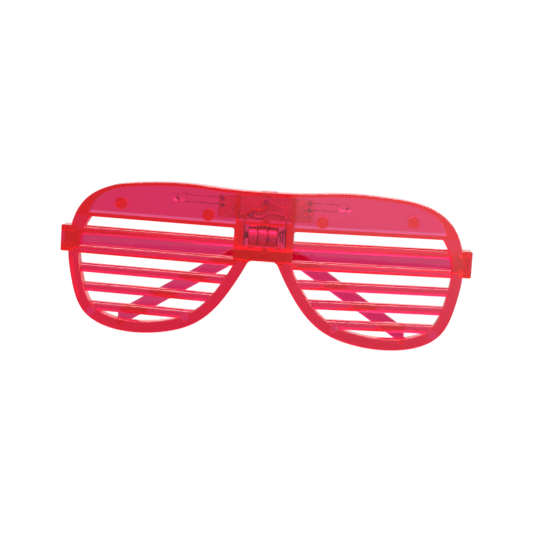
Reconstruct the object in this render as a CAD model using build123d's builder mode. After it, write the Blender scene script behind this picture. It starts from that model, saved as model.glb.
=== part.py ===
"""Light-up shutter glasses with two folding temples, a flasher board and three button cells.

Millimetres. The frame stands as worn: +Z up, +Y towards the wearer, +X to the viewer's right.
The origin is the middle of the bridge's lower edge, on the front face. The temples are folded.
"""

import os
from math import cos, pi, radians, sin, sqrt, tan

from build123d import *

# Front outline, as seen from straight ahead
front_half_width = 74.0
brow_height = 26.7
lens_drop = 30.6
outline_shares = (
    (0.000, 0.955),
    (0.200, 0.968),
    (0.420, 1.000),
    (0.600, 0.975),
    (0.750, 0.920),
    (0.860, 0.806),
    (0.930, 0.650),
    (0.975, 0.430),
    (1.000, 0.080),
    (0.996, -0.160),
    (0.975, -0.420),
    (0.946, -0.640),
    (0.895, -0.820),
    (0.800, -0.945),
    (0.630, -1.000),
    (0.465, -0.950),
    (0.330, -0.828),
    (0.235, -0.642),
    (0.155, -0.382),
    (0.085, -0.080),
)
nose_corner_radius = 2.4
inset_steps = 28

# Plan of the front: a flat bridge, then both halves swept back
flat_half_width = 10.5
sweep_angle = 8.0
bend_radius = 24.0

# Front moulding
panel_thickness = 1.6
wall = 1.4
rim_width = 4.2
rim_corner_width = 5.8
rim_corner_drop = 7.0
brow_end_width = 4.4
brow_end_rise = 11.5
rim_depth = 4.5
brow_depth = 7.0
bridge_block_half_width = 7.4
slat_count = 5
slat_height = 3.5
slat_gap = 3.6
slat_depth = 3.6
slat_setback = 0.5
slat_tuck = 1.8
slat_edge_radius = 1.1
first_slat_top = 8.1
opening_inner = 11.0
opening_corner_radius = 0.9
front_edge_radius = 0.3
opening_edge_radius = 0.35
ejector_mark_radius = 1.6
ejector_mark_depth = 1.4
ejector_places = ((27.6, -23.6), (64.3, -24.4))
slide_fit = 0.15
seat_gap = 0.05

# Brow bosses, which hold the cover's pins
boss_radius = 2.2
pin_radius = 1.0
pin_length = 3.0
press_fit = 0.02
boss_places = ((21.0, 15.6), (54.4, 17.4))

# Rear cover and the hump over the bridge
cover_thickness = 1.2
wing_gap = 0.6
hump_half_width = 10.7
hump_wall = 1.1
hump_edge_radius = 1.2
board_rib_thickness = 1.6
board_rib_place = 10.2

# Button cells and their contacts
cell_count = 3
cell_radius = 3.95
cell_length = 3.6
cell_gap = 0.02
cell_edge_radius = 0.4
cell_cap_radius = 3.2
cell_cap_height = 0.35
cell_side_fit = 0.15
cell_row_centre = -0.45
cell_axis_height = 9.1
contact_thickness = 0.3
contact_width = 6.2
contact_inset = 0.6
contact_fit = 0.1
nub_length = 1.4
nub_radius = 1.65
nub_tip_radius = 0.9
spring_length = 2.6
spring_wire = 0.42
spring_turns = 2.5
spring_base_radius = 2.9
spring_tip_radius = 1.7
tab_width = 1.6
tab_setback = 0.3

# Battery door and its screw
door_lap = 0.5
door_fit = 0.1
door_tab_half_width = 2.7
door_tab_height = 4.8
tongue_width = 2.6
tongue_thickness = 0.9
tongue_reach = 0.3
tongue_root = 0.9
tongue_places = (-5.0, 5.0)
screw_radius = 0.8
screw_length = 5.0
screw_head_radius = 1.5
screw_head_height = 0.9
screw_head_sunk = 0.5
screw_head_fit = 0.15
screw_recess_width = 0.4
screw_recess_length = 1.9
screw_recess_depth = 0.5
screw_boss_radius = 2.1
screw_boss_setback = 1.0
screw_below_tab_top = 2.2

# Circuit board and what it carries
board_half_length = 17.5
board_height = 8.5
board_thickness = 1.0
board_top_gap = 0.5
board_front = 3.0
pad_radius = 0.75
pad_height = 0.45
solder_fit = 0.02
chip_radius = 2.4
chip_height = 0.9
chip_place = (13.7, 2.6)

# Push switch and button
switch_centre = 0.9
switch_width = 6.0
switch_depth = 3.0
switch_height = 3.5
plunger_width = 2.4
plunger_depth = 1.5
plunger_height = 1.0
plunger_sunk = 0.6
plunger_fit = 0.1
button_width = 6.1
button_depth = 1.8
button_proud = 0.3
button_flange_overhang = 0.5
button_flange_thickness = 0.8
button_edge_radius = 0.4
button_travel = 0.35
button_fit = 0.12

# 3 mm lights
led_radius = 1.5
led_flange_radius = 1.9
led_flange_thickness = 1.0
led_length = 5.3
lead_radius = 0.25
lead_spacing = 2.54
lead_pad_place = 16.0
lead_bend_radius = 0.55
lead_proud = 0.15
led_over_board_edge = 6.1
left_led_base = 29.9
right_led_base = 26.6

# Insulated wires, in front of the board: across, and up from the board's lower edge
wire_radius = 0.45
wire_pad_radius = 0.8
wire_pad_height = 1.0
wire_solder_length = 0.25
wire_drop = 1.9
positive_pad = (0.1, 6.8)
positive_route = ((0.1, 4.6), (-1.9, 3.4), (-4.6, 3.6))
negative_pad = (-5.1, 1.9)
negative_route = ((-3.0, 0.8), (-0.7, 1.4), (1.5, 3.1), (4.3, 2.7))
positive_bend_radii = (1.3, 1.4, 1.4, 1.4)
negative_bend_radii = (1.4, 1.4, 1.4, 1.6, 1.0)

# Hinges and temples
hinge_outboard = 0.9
hinge_across = front_half_width + hinge_outboard
hinge_back = 16.0
hinge_height = 2.9
knuckle_height = 4.6
knuckle_radius = 1.8
knuckle_end_fit = 0.1
upper_lug_height = 2.5
lower_lug_height = 2.6
lug_radius = 2.3
lug_bite = 3.0
lug_setback = 1.0
lug_edge_radius = 0.7
knuckle_room = 0.3
trunnion_radius = 1.0
trunnion_length = 1.4
trunnion_fit = 0.05
temple_thickness = 3.0
temple_shoulder = 2.6
temple_root_top = 3.4
temple_root_bottom = 4.0
temple_bend_top = 1.1
temple_bend_bottom = 4.4
temple_straight = 84.8
temple_ear = 52.6
ear_drop_angle = 32.3
ear_upper_radius = 16.0
ear_lower_radius = 11.0
tip_corner_radius = 0.5
temple_edge_radius = 0.5
fold_lean_angle = 1.3

# Cuts run this far past the faces that they open
overrun = 1.0


# Depths and heights that follow from the cells and the walls
cell_axis_back = panel_thickness + cell_side_fit + cell_radius
bay_half_height = cell_radius + cell_side_fit
bay_top = cell_axis_height + bay_half_height
bay_bottom = cell_axis_height - bay_half_height
door_inside = cell_axis_back + cell_radius + cell_side_fit
hump_depth = door_inside + cover_thickness
hump_bottom = bay_bottom - hump_wall
bridge_block_height = hump_bottom - slide_fit
cover_inside = brow_depth - cover_thickness


def behind_front(across):
    """Distance of the front face behind the bridge at a place across the glasses."""
    return max(abs(across) - flat_half_width, 0) * tan(radians(sweep_angle))


def swept_slab(near, far):
    """Solid between two depths behind the swept front face, over the whole width."""
    reach = front_half_width + hinge_across
    back = behind_front(reach)
    tall = brow_height + lens_drop
    with BuildPart() as slab:
        with BuildSketch(Plane.XY.offset(-tall)):
            with BuildLine():
                FilletPolyline(
                    (-reach, back + near),
                    (-flat_half_width, near),
                    (flat_half_width, near),
                    (reach, back + near),
                    radius=bend_radius,
                )
                Line((reach, back + near), (reach, back + far))
                FilletPolyline(
                    (reach, back + far),
                    (flat_half_width, far),
                    (-flat_half_width, far),
                    (-reach, back + far),
                    radius=bend_radius,
                )
                Line((-reach, back + far), (-reach, back + near))
            make_face()
        extrude(amount=2 * tall)
    return slab.part


def bent(region, near, far):
    """Solid of a flat region seen from the front, between two depths behind the front face."""
    slab = swept_slab(near, far)
    with BuildPart() as body:
        with BuildSketch(Plane.XZ.offset(overrun)):
            add(region)
        extrude(amount=-(behind_front(hinge_across) + hump_depth + brow_depth))
        add(slab, mode=Mode.INTERSECT)
    return body.part


def box_between(low, high):
    """Box from its lowest to its highest corner."""
    size = [b - a for a, b in zip(low, high)]
    middle = [(a + b) / 2 for a, b in zip(low, high)]
    return Pos(*middle) * Box(*size, mode=Mode.PRIVATE)


# Regions of the front, drawn flat
outline_points = [
    (across * front_half_width, up * (brow_height if up > 0 else lens_drop))
    for across, up in outline_shares
]
bridge_top = outline_points[0][1]
with BuildLine() as rim_line:
    rim_edge = Spline(*outline_points, tangents=((1, 0), (-1, 2)))


def inside_outline(inset, upper_inset=None, low=0, high=front_half_width):
    """Flat region inside the outline, by an inset that may change between two heights."""
    points = []
    for step in range(inset_steps + 1):
        along = rim_edge.tangent_at(step / inset_steps)
        place = rim_edge.position_at(step / inset_steps)
        share = min(max((place.Y - low) / (high - low), 0), 1) if upper_inset else 0
        here = inset + share * ((upper_inset or inset) - inset)
        points.append(place + Vector(along.Y, -along.X) * here)
    start = rim_edge.tangent_at(0)
    finish = rim_edge.tangent_at(1)
    corner = points[-1] + finish * ((inset - points[-1].Y) / finish.Y)
    with BuildSketch() as region:
        with BuildLine():
            Spline(*points, tangents=(start, finish))
            Polyline(points[-1], corner, (0, inset), points[0])
        make_face()
        nose_corner = region.vertices().sort_by_distance(corner)[0]
        fillet(nose_corner, radius=nose_corner_radius + inset)
        mirror(about=Plane.YZ)
    return region.sketch


outline = inside_outline(0)
inside_tuck = inside_outline(rim_width - slat_tuck)

brow_bottom = first_slat_top + slat_gap
inside_rim = inside_outline(rim_width, rim_corner_width, brow_bottom - rim_corner_drop, brow_bottom)
brow_inside_bottom = brow_bottom + wall
slat_pitch = slat_height + slat_gap
far_across = front_half_width + hinge_across
far_up = brow_height + lens_drop


def right_of(left, low, high):
    """Flat rectangle from a left edge outwards, between two heights."""
    width = far_across - left
    return Pos(left + width / 2, (low + high) / 2) * Rectangle(width, high - low, mode=Mode.PRIVATE)


def both_sides(region):
    """Flat region with its mirror image."""
    return region + region.mirror(Plane.YZ)


# Eye openings, with the slats left standing behind them
with BuildSketch() as eye_opening:
    add(inside_rim)
    add(right_of(opening_inner, -far_up, brow_bottom), mode=Mode.INTERSECT)
    fillet(eye_opening.vertices(), radius=opening_corner_radius)
eye_openings = both_sides(eye_opening.sketch)

slat_tops = [first_slat_top - i * slat_pitch for i in range(slat_count)]
slat_inner = hump_half_width + slide_fit
with BuildSketch() as slat_bands:
    for top in slat_tops:
        add(right_of(slat_inner, top - slat_height, top))
    add(inside_tuck, mode=Mode.INTERSECT)
slats = bent(both_sides(slat_bands.sketch), slat_setback, slat_setback + slat_depth)
slat_front_edges = (
    slats.edges()
    .filter_by(lambda e: abs(e.tangent_at(0.5).Z) < sin(radians(sweep_angle)))
    .filter_by(lambda e: e.length > slat_height + slat_gap)
)
slats = fillet(slat_front_edges, radius=slat_edge_radius)

# Front moulding: the full depth of the brow, hollowed from behind
whole_front = bent(outline, 0, brow_depth)
outline_front_edges = (
    whole_front.edges()
    .filter_by(lambda e: abs(e.position_at(0.5).Y - behind_front(e.position_at(0.5).X)) < wall / 4)
    .filter_by(lambda e: abs(e.tangent_at(0.5).Z) < 1 - overrun / far_across)
)
whole_front = fillet(outline_front_edges, radius=front_edge_radius)
below_brow = Pos(0, brow_bottom - far_up / 2) * Rectangle(2 * far_across, far_up)
above_shelf = Pos(0, brow_inside_bottom + far_up / 2) * Rectangle(2 * far_across, far_up)
between_shelves = Pos(0, bridge_block_height + far_up / 2) * Rectangle(2 * slat_inner, far_up)


def brow_inside(gap):
    """Flat region inside the brow's walls, which are thicker at the outer ends."""
    tapered = inside_outline(
        brow_end_width + gap,
        wall + gap,
        brow_inside_bottom,
        brow_inside_bottom + brow_end_rise,
    )
    return tapered & (above_shelf + between_shelves)


bay_room = inside_outline(wall) & between_shelves
bridge_block = Pos(0, bridge_block_height / 2 - overrun) * Rectangle(
    2 * bridge_block_half_width, bridge_block_height + 2 * overrun
)
hollow = bent(brow_inside(0) + bay_room, panel_thickness, brow_depth + overrun)
rim_cut = bent(below_brow - bridge_block, rim_depth, brow_depth + overrun)
eye_cut = bent(eye_openings, -overrun, brow_depth + overrun)
mid_rim = inside_outline(rim_width / 2).faces()[0]
pierced_front = whole_front - eye_cut
opening_front_edges = (
    pierced_front.edges()
    .filter_by(lambda e: abs(e.position_at(0.5).Y - behind_front(e.position_at(0.5).X)) < seat_gap)
    .filter_by(lambda e: abs(e.position_at(0.5).X) > opening_inner - seat_gap)
    .filter_by(lambda e: mid_rim.is_inside(Vector(e.position_at(0.5).X, e.position_at(0.5).Z, 0)))
)
pierced_front = fillet(opening_front_edges, radius=opening_edge_radius)
board_bottom = bridge_top - wall - board_top_gap - board_height
board_top = board_bottom + board_height
board_back = board_front + board_thickness
led_height = board_bottom + led_over_board_edge



def boss_discs(radius):
    """Flat discs at the brow's boss places."""
    with BuildSketch() as discs:
        with Locations([(side * across, up) for side in (-1, 1) for across, up in boss_places]):
            Circle(radius)
    return discs.sketch


bosses = bent(boss_discs(boss_radius), panel_thickness / 2, cover_inside - seat_gap)
boss_bores = bent(
    boss_discs(pin_radius + press_fit),
    cover_inside - pin_length - seat_gap,
    cover_inside + overrun,
)
pins = bent(boss_discs(pin_radius), cover_inside - pin_length, cover_inside + cover_thickness / 2)

switch_middle = board_back + switch_depth / 2
wall_underside = bridge_top - wall

lug_top = hinge_height + knuckle_height / 2 + knuckle_end_fit + upper_lug_height
lug_bottom = hinge_height - knuckle_height / 2 - knuckle_end_fit - lower_lug_height
lug_room_top = lug_top - upper_lug_height
lug_room_bottom = lug_bottom + lower_lug_height
lug_front = behind_front(hinge_across - lug_radius) + lug_setback
lug_root = front_half_width - lug_bite

# Hinge lug: a web on the rim, with an ear above and below the knuckle
with BuildPart() as lug:
    with BuildSketch(Plane.XY.offset(lug_bottom)):
        with BuildLine():
            Polyline(
                (lug_root, hinge_back - knuckle_radius - knuckle_room),
                (lug_root, lug_front),
                (hinge_across + lug_radius, lug_front),
                (hinge_across + lug_radius, hinge_back + lug_radius),
                (hinge_across, hinge_back + lug_radius),
            )
            RadiusArc(
                (hinge_across, hinge_back + lug_radius),
                (hinge_across - lug_radius, hinge_back),
                -lug_radius,
            )
            Polyline(
                (hinge_across - lug_radius, hinge_back),
                (hinge_across - lug_radius, hinge_back - knuckle_radius - knuckle_room),
                (lug_root, hinge_back - knuckle_radius - knuckle_room),
            )
        make_face()
    extrude(amount=lug_top - lug_bottom)
    fillet(lug.faces().sort_by(Axis.X)[-1].edges(), radius=lug_edge_radius)
    add(
        box_between(
            (
                hinge_across - lug_radius - overrun,
                hinge_back - knuckle_radius - knuckle_room,
                lug_room_bottom,
            ),
            (far_across, hinge_back + lug_radius + overrun, lug_room_top),
        ),
        mode=Mode.SUBTRACT,
    )
    with Locations((hinge_across, hinge_back, hinge_height)):
        Cylinder(
            trunnion_radius + trunnion_fit,
            knuckle_height + 2 * (trunnion_length + knuckle_end_fit),
            mode=Mode.SUBTRACT,
        )

with BuildPart() as front_frame:
    add(pierced_front)
    add(hollow, mode=Mode.SUBTRACT)
    add(rim_cut, mode=Mode.SUBTRACT)
    add(slats)
    # Ribs that the board rests against
    for side in (-1, 1):
        add(
            box_between(
                (side * board_rib_place - board_rib_thickness / 2, panel_thickness / 2, board_bottom),
                (
                    side * board_rib_place + board_rib_thickness / 2,
                    board_front - seat_gap,
                    wall_underside + seat_gap,
                ),
            )
        )
    add(bosses)
    add(boss_bores, mode=Mode.SUBTRACT)
    # Slot for the button
    add(
        box_between(
            (
                switch_centre - button_width / 2 - button_fit,
                switch_middle - button_depth / 2 - button_fit,
                wall_underside - overrun,
            ),
            (
                switch_centre + button_width / 2 + button_fit,
                switch_middle + button_depth / 2 + button_fit,
                bridge_top + overrun,
            ),
        ),
        mode=Mode.SUBTRACT,
    )
    add(lug.part)
    mirror(lug.part, about=Plane.YZ)
    # Ejector marks on the back of the lower rim
    for side in (-1, 1):
        for across, up in ejector_places:
            back = behind_front(across) + rim_depth - ejector_mark_depth
            with BuildSketch(Plane.XZ.offset(-back)):
                with Locations((side * across, up)):
                    Circle(ejector_mark_radius)
            extrude(amount=-(ejector_mark_depth + overrun), mode=Mode.SUBTRACT)
front_frame.part.label = "front_frame"


# Rear cover: two wings that close the brow, and the hump with the battery bay
below_cover = Pos(0, brow_inside_bottom + wing_gap - far_up / 2) * Rectangle(2 * far_across, far_up)
wings = bent(brow_inside(slide_fit) - below_cover, cover_inside, brow_depth)
hump_top = wall_underside - slide_fit
bay_roof = bay_top + hump_wall
bay_half_width = hump_half_width - hump_wall
cell_row_half = (cell_count * cell_length + (cell_count - 1) * cell_gap) / 2
nub_tip_place = cell_row_centre - cell_row_half - cell_gap
spring_tip_place = cell_row_centre + cell_row_half + cell_gap
plate_face = nub_tip_place - nub_length
spring_seat = spring_tip_place + spring_length
plate_back = plate_face - contact_thickness
spring_plate_back = spring_seat + contact_thickness
tab_front = panel_thickness + tab_setback
tab_top = board_bottom - 2 * solder_fit - wire_solder_length
tab_places = (plate_back + contact_thickness / 2, spring_seat + contact_thickness / 2)
door_top = bay_top + door_lap
door_bottom = bay_bottom - door_lap
door_half_width = bay_half_width + door_lap
door_tab_top = door_top + door_tab_height
screw_height = door_tab_top - screw_below_tab_top
screw_boss_front = board_back + screw_boss_setback

with BuildPart() as back_cover:
    add(
        box_between(
            (-hump_half_width, board_back + seat_gap, bay_roof),
            (hump_half_width, hump_depth, hump_top),
        )
    )
    add(
        box_between(
            (-hump_half_width, panel_thickness + slide_fit, hump_bottom),
            (hump_half_width, hump_depth, bay_roof),
        )
    )
    hump_corners = (
        back_cover.edges()
        .filter_by_position(Axis.Y, hump_depth - seat_gap, hump_depth + seat_gap)
        .filter_by(lambda e: e.length > seat_gap)
    )
    fillet(hump_corners, radius=hump_edge_radius)
    add(wings)
    # Room behind the board, open at the top as far back as the button reaches
    add(
        box_between(
            (-bay_half_width, board_front, bay_roof),
            (bay_half_width, door_inside, hump_top - hump_wall),
        ),
        mode=Mode.SUBTRACT,
    )
    add(
        box_between(
            (-bay_half_width, board_front, hump_top - hump_wall - overrun),
            (bay_half_width, brow_depth + slide_fit, bridge_top + overrun),
        ),
        mode=Mode.SUBTRACT,
    )
    # Battery bay, its solid ends and the door's seat
    add(
        box_between(
            (-bay_half_width, 0, bay_bottom),
            (bay_half_width, hump_depth + overrun, bay_top),
        ),
        mode=Mode.SUBTRACT,
    )
    for low, high in (
        (-bay_half_width - hump_wall / 2, plate_back),
        (spring_plate_back, bay_half_width + hump_wall / 2),
    ):
        add(
            box_between(
                (low, panel_thickness + slide_fit, bay_bottom - hump_wall / 2),
                (high, door_inside - contact_inset, bay_top + hump_wall / 2),
            )
        )
    add(
        box_between(
            (-door_half_width, door_inside, door_bottom),
            (door_half_width, hump_depth + overrun, door_top),
        ),
        mode=Mode.SUBTRACT,
    )
    with BuildSketch(Plane.XZ.offset(-screw_boss_front)):
        with Locations((0, screw_height)):
            Circle(screw_boss_radius)
    extrude(amount=-(hump_depth - screw_boss_front))
    add(
        box_between(
            (-door_tab_half_width, door_inside, door_bottom),
            (door_tab_half_width, hump_depth + overrun, door_tab_top),
        ),
        mode=Mode.SUBTRACT,
    )
    with BuildSketch(Plane.XZ.offset(-screw_boss_front + overrun)):
        with Locations((0, screw_height)):
            Circle(screw_radius + press_fit)
    extrude(amount=-(hump_depth + overrun), mode=Mode.SUBTRACT)
    # Slots for the door's tongues and for the contacts' tabs
    for place in tongue_places:
        add(
            box_between(
                (
                    place - tongue_width / 2 - door_fit,
                    door_inside - tongue_root - door_fit,
                    door_bottom - tongue_reach - door_fit,
                ),
                (place + tongue_width / 2 + door_fit, door_inside + overrun, bay_bottom + overrun),
            ),
            mode=Mode.SUBTRACT,
        )
    for place in tab_places:
        add(
            box_between(
                (place - contact_thickness / 2 - contact_fit, panel_thickness, bay_top - overrun),
                (
                    place + contact_thickness / 2 + contact_fit,
                    tab_front + tab_width + contact_fit,
                    bay_roof + overrun,
                ),
            ),
            mode=Mode.SUBTRACT,
        )
    add(pins)
back_cover.part.label = "back_cover"

door_face = door_inside + seat_gap
with BuildPart() as battery_door:
    with BuildSketch(Plane.XZ.offset(-door_face)):
        with Locations((0, (door_top + door_bottom) / 2)):
            Rectangle(2 * (door_half_width - door_fit), door_top - door_bottom - 2 * door_fit)
        with Locations((0, door_tab_top - door_fit)):
            Rectangle(
                2 * (door_tab_half_width - door_fit),
                door_tab_height + door_lap,
                align=(Align.CENTER, Align.MAX),
            )
    extrude(amount=-(hump_depth - door_face))
    for place in tongue_places:
        add(
            box_between(
                (place - tongue_width / 2, door_inside - tongue_root, door_bottom - tongue_reach),
                (place + tongue_width / 2, door_face, bay_bottom + tongue_thickness),
            )
        )
    # The screw passes through the tab and its head sinks into it
    with BuildSketch(Plane.XZ.offset(-door_inside + overrun)):
        with Locations((0, screw_height)):
            Circle(screw_radius + screw_head_fit)
    extrude(amount=-(cover_thickness + 2 * overrun), mode=Mode.SUBTRACT)
    with BuildSketch(Plane.XZ.offset(-hump_depth + screw_head_sunk)):
        with Locations((0, screw_height)):
            Circle(screw_head_radius + screw_head_fit)
    extrude(amount=-(screw_head_sunk + overrun), mode=Mode.SUBTRACT)
battery_door.part.label = "battery_door"

screw_seat = hump_depth - screw_head_sunk
with BuildPart() as battery_door_screw:
    with BuildSketch(Plane.XZ.offset(-screw_seat)):
        with Locations((0, screw_height)):
            Circle(screw_head_radius)
    extrude(amount=-screw_head_height)
    with BuildSketch(Plane.XZ.offset(-screw_seat)):
        with Locations((0, screw_height)):
            Circle(screw_radius)
    extrude(amount=screw_length)
    with BuildSketch(Plane.XZ.offset(-screw_seat - screw_head_height)):
        with Locations((0, screw_height)):
            Rectangle(screw_recess_length, screw_recess_width)
            Rectangle(screw_recess_width, screw_recess_length)
    extrude(amount=screw_recess_depth, mode=Mode.SUBTRACT)
battery_door_screw.part.label = "battery_door_screw"

# Button cells: a can with a smaller cap at its negative end
cells = []
for number in range(cell_count):
    start = cell_row_centre - cell_row_half + number * (cell_length + cell_gap)
    can_length = cell_length - cell_cap_height
    with BuildPart() as cell:
        with BuildSketch(Plane.YZ.offset(start)):
            with Locations((cell_axis_back, cell_axis_height)):
                Circle(cell_radius)
        extrude(amount=can_length)
        fillet(cell.edges(), radius=cell_edge_radius)
        with BuildSketch(Plane.YZ.offset(start + can_length)):
            with Locations((cell_axis_back, cell_axis_height)):
                Circle(cell_cap_radius)
        extrude(amount=cell_cap_height)
    cell.part.label = f"button_cell_{number + 1}"
    cells.append(cell.part)


def contact_plate(near):
    """Contact sheet that starts at a place across the bay, with a tab up through the bay's roof."""
    sheet_back = cell_axis_back + contact_width / 2
    return box_between(
        (near, cell_axis_back - contact_width / 2, bay_bottom + contact_fit),
        (near + contact_thickness, sheet_back, bay_top - contact_fit),
    ) + box_between(
        (near, tab_front, bay_bottom + contact_inset),
        (near + contact_thickness, tab_front + tab_width, tab_top),
    )


with BuildPart() as plate_contact:
    add(contact_plate(plate_back))
    with BuildSketch(Plane.YZ.offset(plate_face - contact_thickness / 2)):
        with Locations((cell_axis_back, cell_axis_height)):
            Circle(nub_radius)
    with BuildSketch(Plane.YZ.offset(nub_tip_place)):
        with Locations((cell_axis_back, cell_axis_height)):
            Circle(nub_tip_radius)
    loft()
plate_contact.part.label = "plate_contact"


def biarc(start, start_way, finish, finish_way):
    """Draw two arcs between two points, leaving and arriving in the given directions."""
    chord = finish - start
    both = start_way + finish_way
    turn = 2 * (1 - start_way.dot(finish_way))
    along = chord.dot(both)
    reach = (sqrt(along * along + turn * chord.dot(chord)) - along) / turn
    middle = (start + finish + (start_way - finish_way) * reach) * 0.5
    arrival = TangentArc(finish, middle, tangent=-finish_way, mode=Mode.PRIVATE)
    TangentArc(start, middle, tangent=start_way)
    ThreePointArc(middle, arrival @ 0.5, finish)


def coil_point(turn):
    """Point of the tapering coil and its direction, after a number of turns from its wide end."""
    share = turn / spring_turns
    radius = spring_base_radius + (spring_tip_radius - spring_base_radius) * share
    climb = spring_length - spring_wire
    angle = 2 * pi * turn
    place = Vector(
        spring_seat - spring_wire / 2 - climb * share,
        cell_axis_back + radius * cos(angle),
        cell_axis_height + radius * sin(angle),
    )
    taper = (spring_tip_radius - spring_base_radius) / spring_turns
    way = Vector(
        -climb / spring_turns,
        taper * cos(angle) - 2 * pi * radius * sin(angle),
        taper * sin(angle) + 2 * pi * radius * cos(angle),
    )
    return place, way.normalized()


quarters = round(4 * spring_turns)
coil_stops = [coil_point(quarter / quarters * spring_turns) for quarter in range(quarters + 1)]
with BuildPart() as spring_contact:
    with BuildLine() as coil_line:
        for (start, start_way), (finish, finish_way) in zip(coil_stops, coil_stops[1:]):
            biarc(start, start_way, finish, finish_way)
    with BuildSketch(Plane(origin=coil_stops[0][0], z_dir=coil_stops[0][1])):
        Circle(spring_wire / 2)
    sweep(path=coil_line.wire())
    add(contact_plate(spring_seat))
spring_contact.part.label = "spring_contact"

probe_steps = 400
probe = [coil_line.wire().position_at(step / probe_steps) for step in range(probe_steps + 1)]
half_turn = round(probe_steps / spring_turns / 2)
apart = min((a - b).length for i, a in enumerate(probe) for b in probe[i + half_turn :])
print("coil's least gap to itself:", round(apart - spring_wire, 2))

# Circuit board, its chip and its switch
lead_heights = (led_height - lead_spacing / 2, led_height + lead_spacing / 2)
with BuildPart() as circuit_board:
    with BuildSketch(Plane.XZ.offset(-board_front)):
        with Locations((0, (board_bottom + board_top) / 2)):
            Rectangle(2 * board_half_length, board_height)
        with Locations([(side * lead_pad_place, up) for side in (-1, 1) for up in lead_heights]):
            Circle(lead_radius + solder_fit, mode=Mode.SUBTRACT)
    extrude(amount=-board_thickness)
circuit_board.part.label = "circuit_board"

with BuildPart() as flasher_chip:
    with BuildSketch(Plane.XZ.offset(-board_back)):
        with Locations((chip_place[0], board_bottom + chip_place[1])):
            Circle(chip_radius)
    extrude(amount=-chip_height)
    fillet(flasher_chip.edges().sort_by(Axis.Y)[-1], radius=chip_height - seat_gap)
flasher_chip.part.label = "flasher_chip"

button_flange_bottom = wall_underside - seat_gap - button_travel / 2 - button_flange_thickness
plunger_top = button_flange_bottom
switch_top = plunger_top - plunger_height
switch_bottom = switch_top - switch_height
with BuildPart() as tact_switch:
    add(
        box_between(
            (switch_centre - switch_width / 2, board_back, switch_bottom),
            (switch_centre + switch_width / 2, board_back + switch_depth, switch_top),
        )
    )
    chamfer(tact_switch.edges().filter_by(Axis.Y), length=plunger_fit)
    add(
        box_between(
            (
                switch_centre - plunger_width / 2 - plunger_fit,
                switch_middle - plunger_depth / 2 - plunger_fit,
                switch_top - plunger_sunk - button_travel - plunger_fit,
            ),
            (
                switch_centre + plunger_width / 2 + plunger_fit,
                switch_middle + plunger_depth / 2 + plunger_fit,
                switch_top + overrun,
            ),
        ),
        mode=Mode.SUBTRACT,
    )
tact_switch.part.label = "tact_switch"

with BuildPart() as switch_plunger:
    add(
        box_between(
            (
                switch_centre - plunger_width / 2,
                switch_middle - plunger_depth / 2,
                switch_top - plunger_sunk,
            ),
            (switch_centre + plunger_width / 2, switch_middle + plunger_depth / 2, plunger_top),
        )
    )
    chamfer(switch_plunger.edges().filter_by(Axis.Z), length=plunger_fit)
switch_plunger.part.label = "switch_plunger"

with BuildPart() as push_button:
    with BuildSketch(Plane.XY.offset(button_flange_bottom)):
        with Locations((switch_centre, switch_middle)):
            Rectangle(
                button_width + 2 * button_flange_overhang,
                button_depth + 2 * button_flange_overhang,
            )
    extrude(amount=button_flange_thickness)
    with BuildSketch(Plane.XY.offset(button_flange_bottom)):
        with Locations((switch_centre, switch_middle)):
            Rectangle(button_width, button_depth)
    extrude(amount=bridge_top + button_proud - button_flange_bottom)
    fillet(push_button.faces().sort_by(Axis.Z)[-1].edges(), radius=button_edge_radius)
push_button.part.label = "push_button"


# Lights: base outwards, along each half's own slant
def led_place(across):
    """Middle of the brow's room at a place across the glasses, at the lights' height."""
    return (across, behind_front(across) + (panel_thickness + cover_inside) / 2, led_height)


led_parts = []
lead_parts = []
for name, side, base in (("left", -1, left_led_base), ("right", 1, right_led_base)):
    outwards = Vector(side * cos(radians(sweep_angle)), sin(radians(sweep_angle)), 0)
    x, y, z = led_place(side * base)
    pad_x, pad_y, pad_z = led_place(side * lead_pad_place)
    lead_inside = led_length / 2
    socket = Plane(origin=(x, y, z), z_dir=outwards, x_dir=(0, 0, 1))
    with BuildPart() as led:
        with BuildSketch(socket):
            Circle(led_flange_radius)
        extrude(amount=led_flange_thickness)
        with BuildSketch(socket):
            Circle(led_radius)
        extrude(amount=led_length)
        dome_edge = led.edges().sort_by(lambda e: (e.center() - Vector(x, y, z)).dot(outwards))[-1]
        fillet(dome_edge, radius=led_radius - seat_gap)
        with BuildSketch(socket):
            with Locations((-lead_spacing / 2, 0), (lead_spacing / 2, 0)):
                Circle(lead_radius + solder_fit)
        extrude(amount=lead_inside + solder_fit, mode=Mode.SUBTRACT)
    led.part.label = f"{name}_led"
    led_parts.append(led.part)
    with BuildPart() as leads:
        for up in (-lead_spacing / 2, lead_spacing / 2):
            inner_end = Vector(x, y, z + up) + outwards * lead_inside
            with BuildLine() as lead_line:
                FilletPolyline(
                    inner_end,
                    (pad_x, pad_y, pad_z + up),
                    (pad_x, board_front - pad_height - lead_proud, pad_z + up),
                    radius=lead_bend_radius,
                )
            with BuildSketch(Plane(origin=inner_end, z_dir=-outwards)):
                Circle(lead_radius)
            sweep(path=lead_line.wire())
    leads.part.label = f"{name}_led_leads"
    lead_parts.append(leads.part)

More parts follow.
